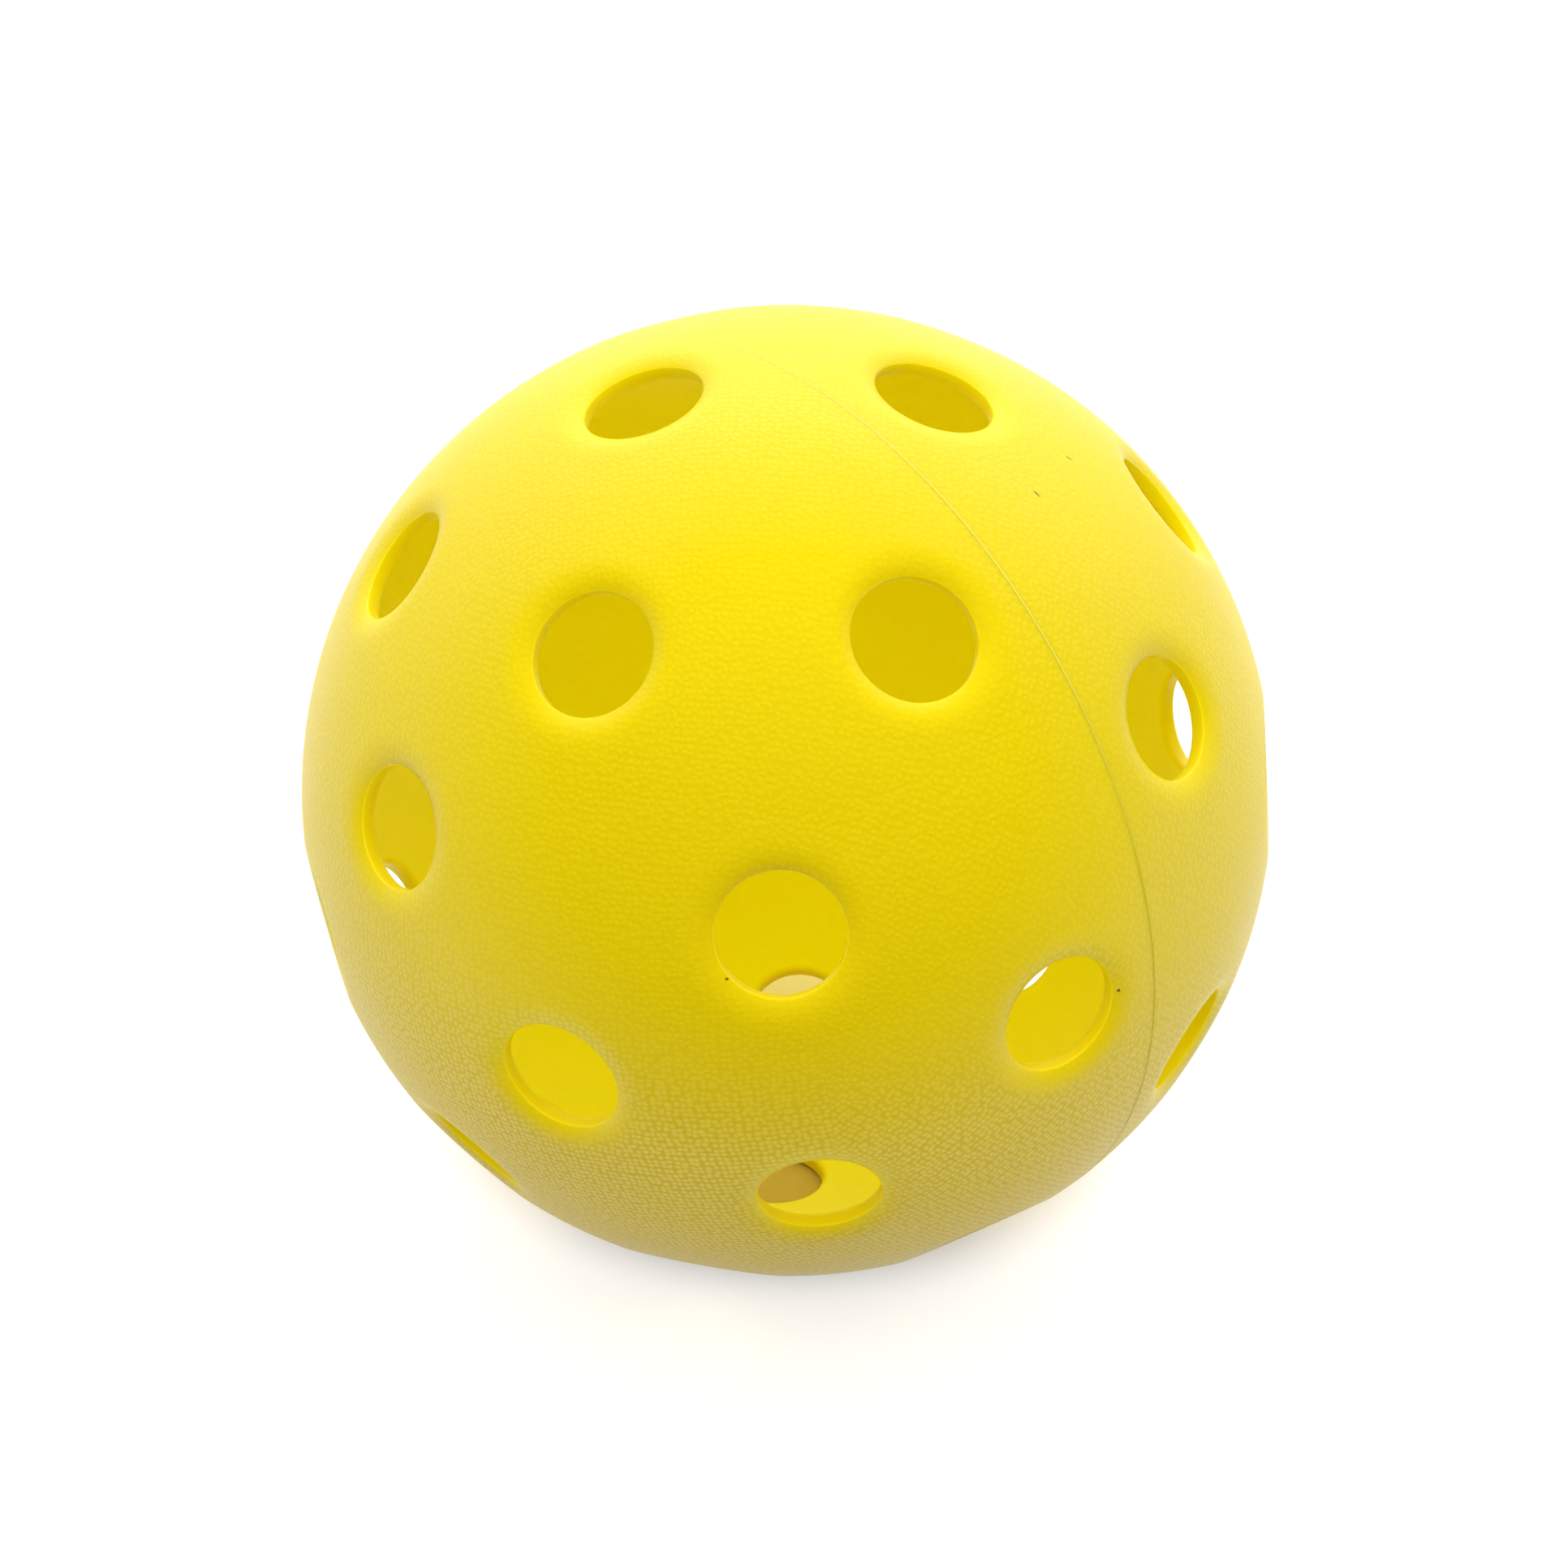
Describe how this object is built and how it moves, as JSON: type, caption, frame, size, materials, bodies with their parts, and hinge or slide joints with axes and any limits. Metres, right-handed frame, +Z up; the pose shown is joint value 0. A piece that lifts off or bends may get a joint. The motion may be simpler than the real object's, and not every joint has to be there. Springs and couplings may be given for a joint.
{
  "type": "pickleball",
  "caption": "Hollow perforated plastic pickleball: moulded half shells welded together, with round holes through the wall whose rims sink softly into the skin.",
  "frame": {"origin": "centre of the ball", "axes": "+Z up, with the hole that the ball rests on straight below; the weld circle holds the Y axis, and its own axis lies in the XZ plane"},
  "size_m": [0.074, 0.0742, 0.0735],
  "materials": {
    "left_half_shell": "yellow, fine pebbled grain outside, smooth inside",
    "right_half_shell": "yellow, fine pebbled grain outside, smooth inside",
    "weld_bead": "paler yellow, smooth melted ridge"
  },
  "bodies": {
    "root": {"left_half_shell": "left_half_shell", "right_half_shell": "right_half_shell", "weld_bead": "weld_bead"}
  },
  "joints": []
}
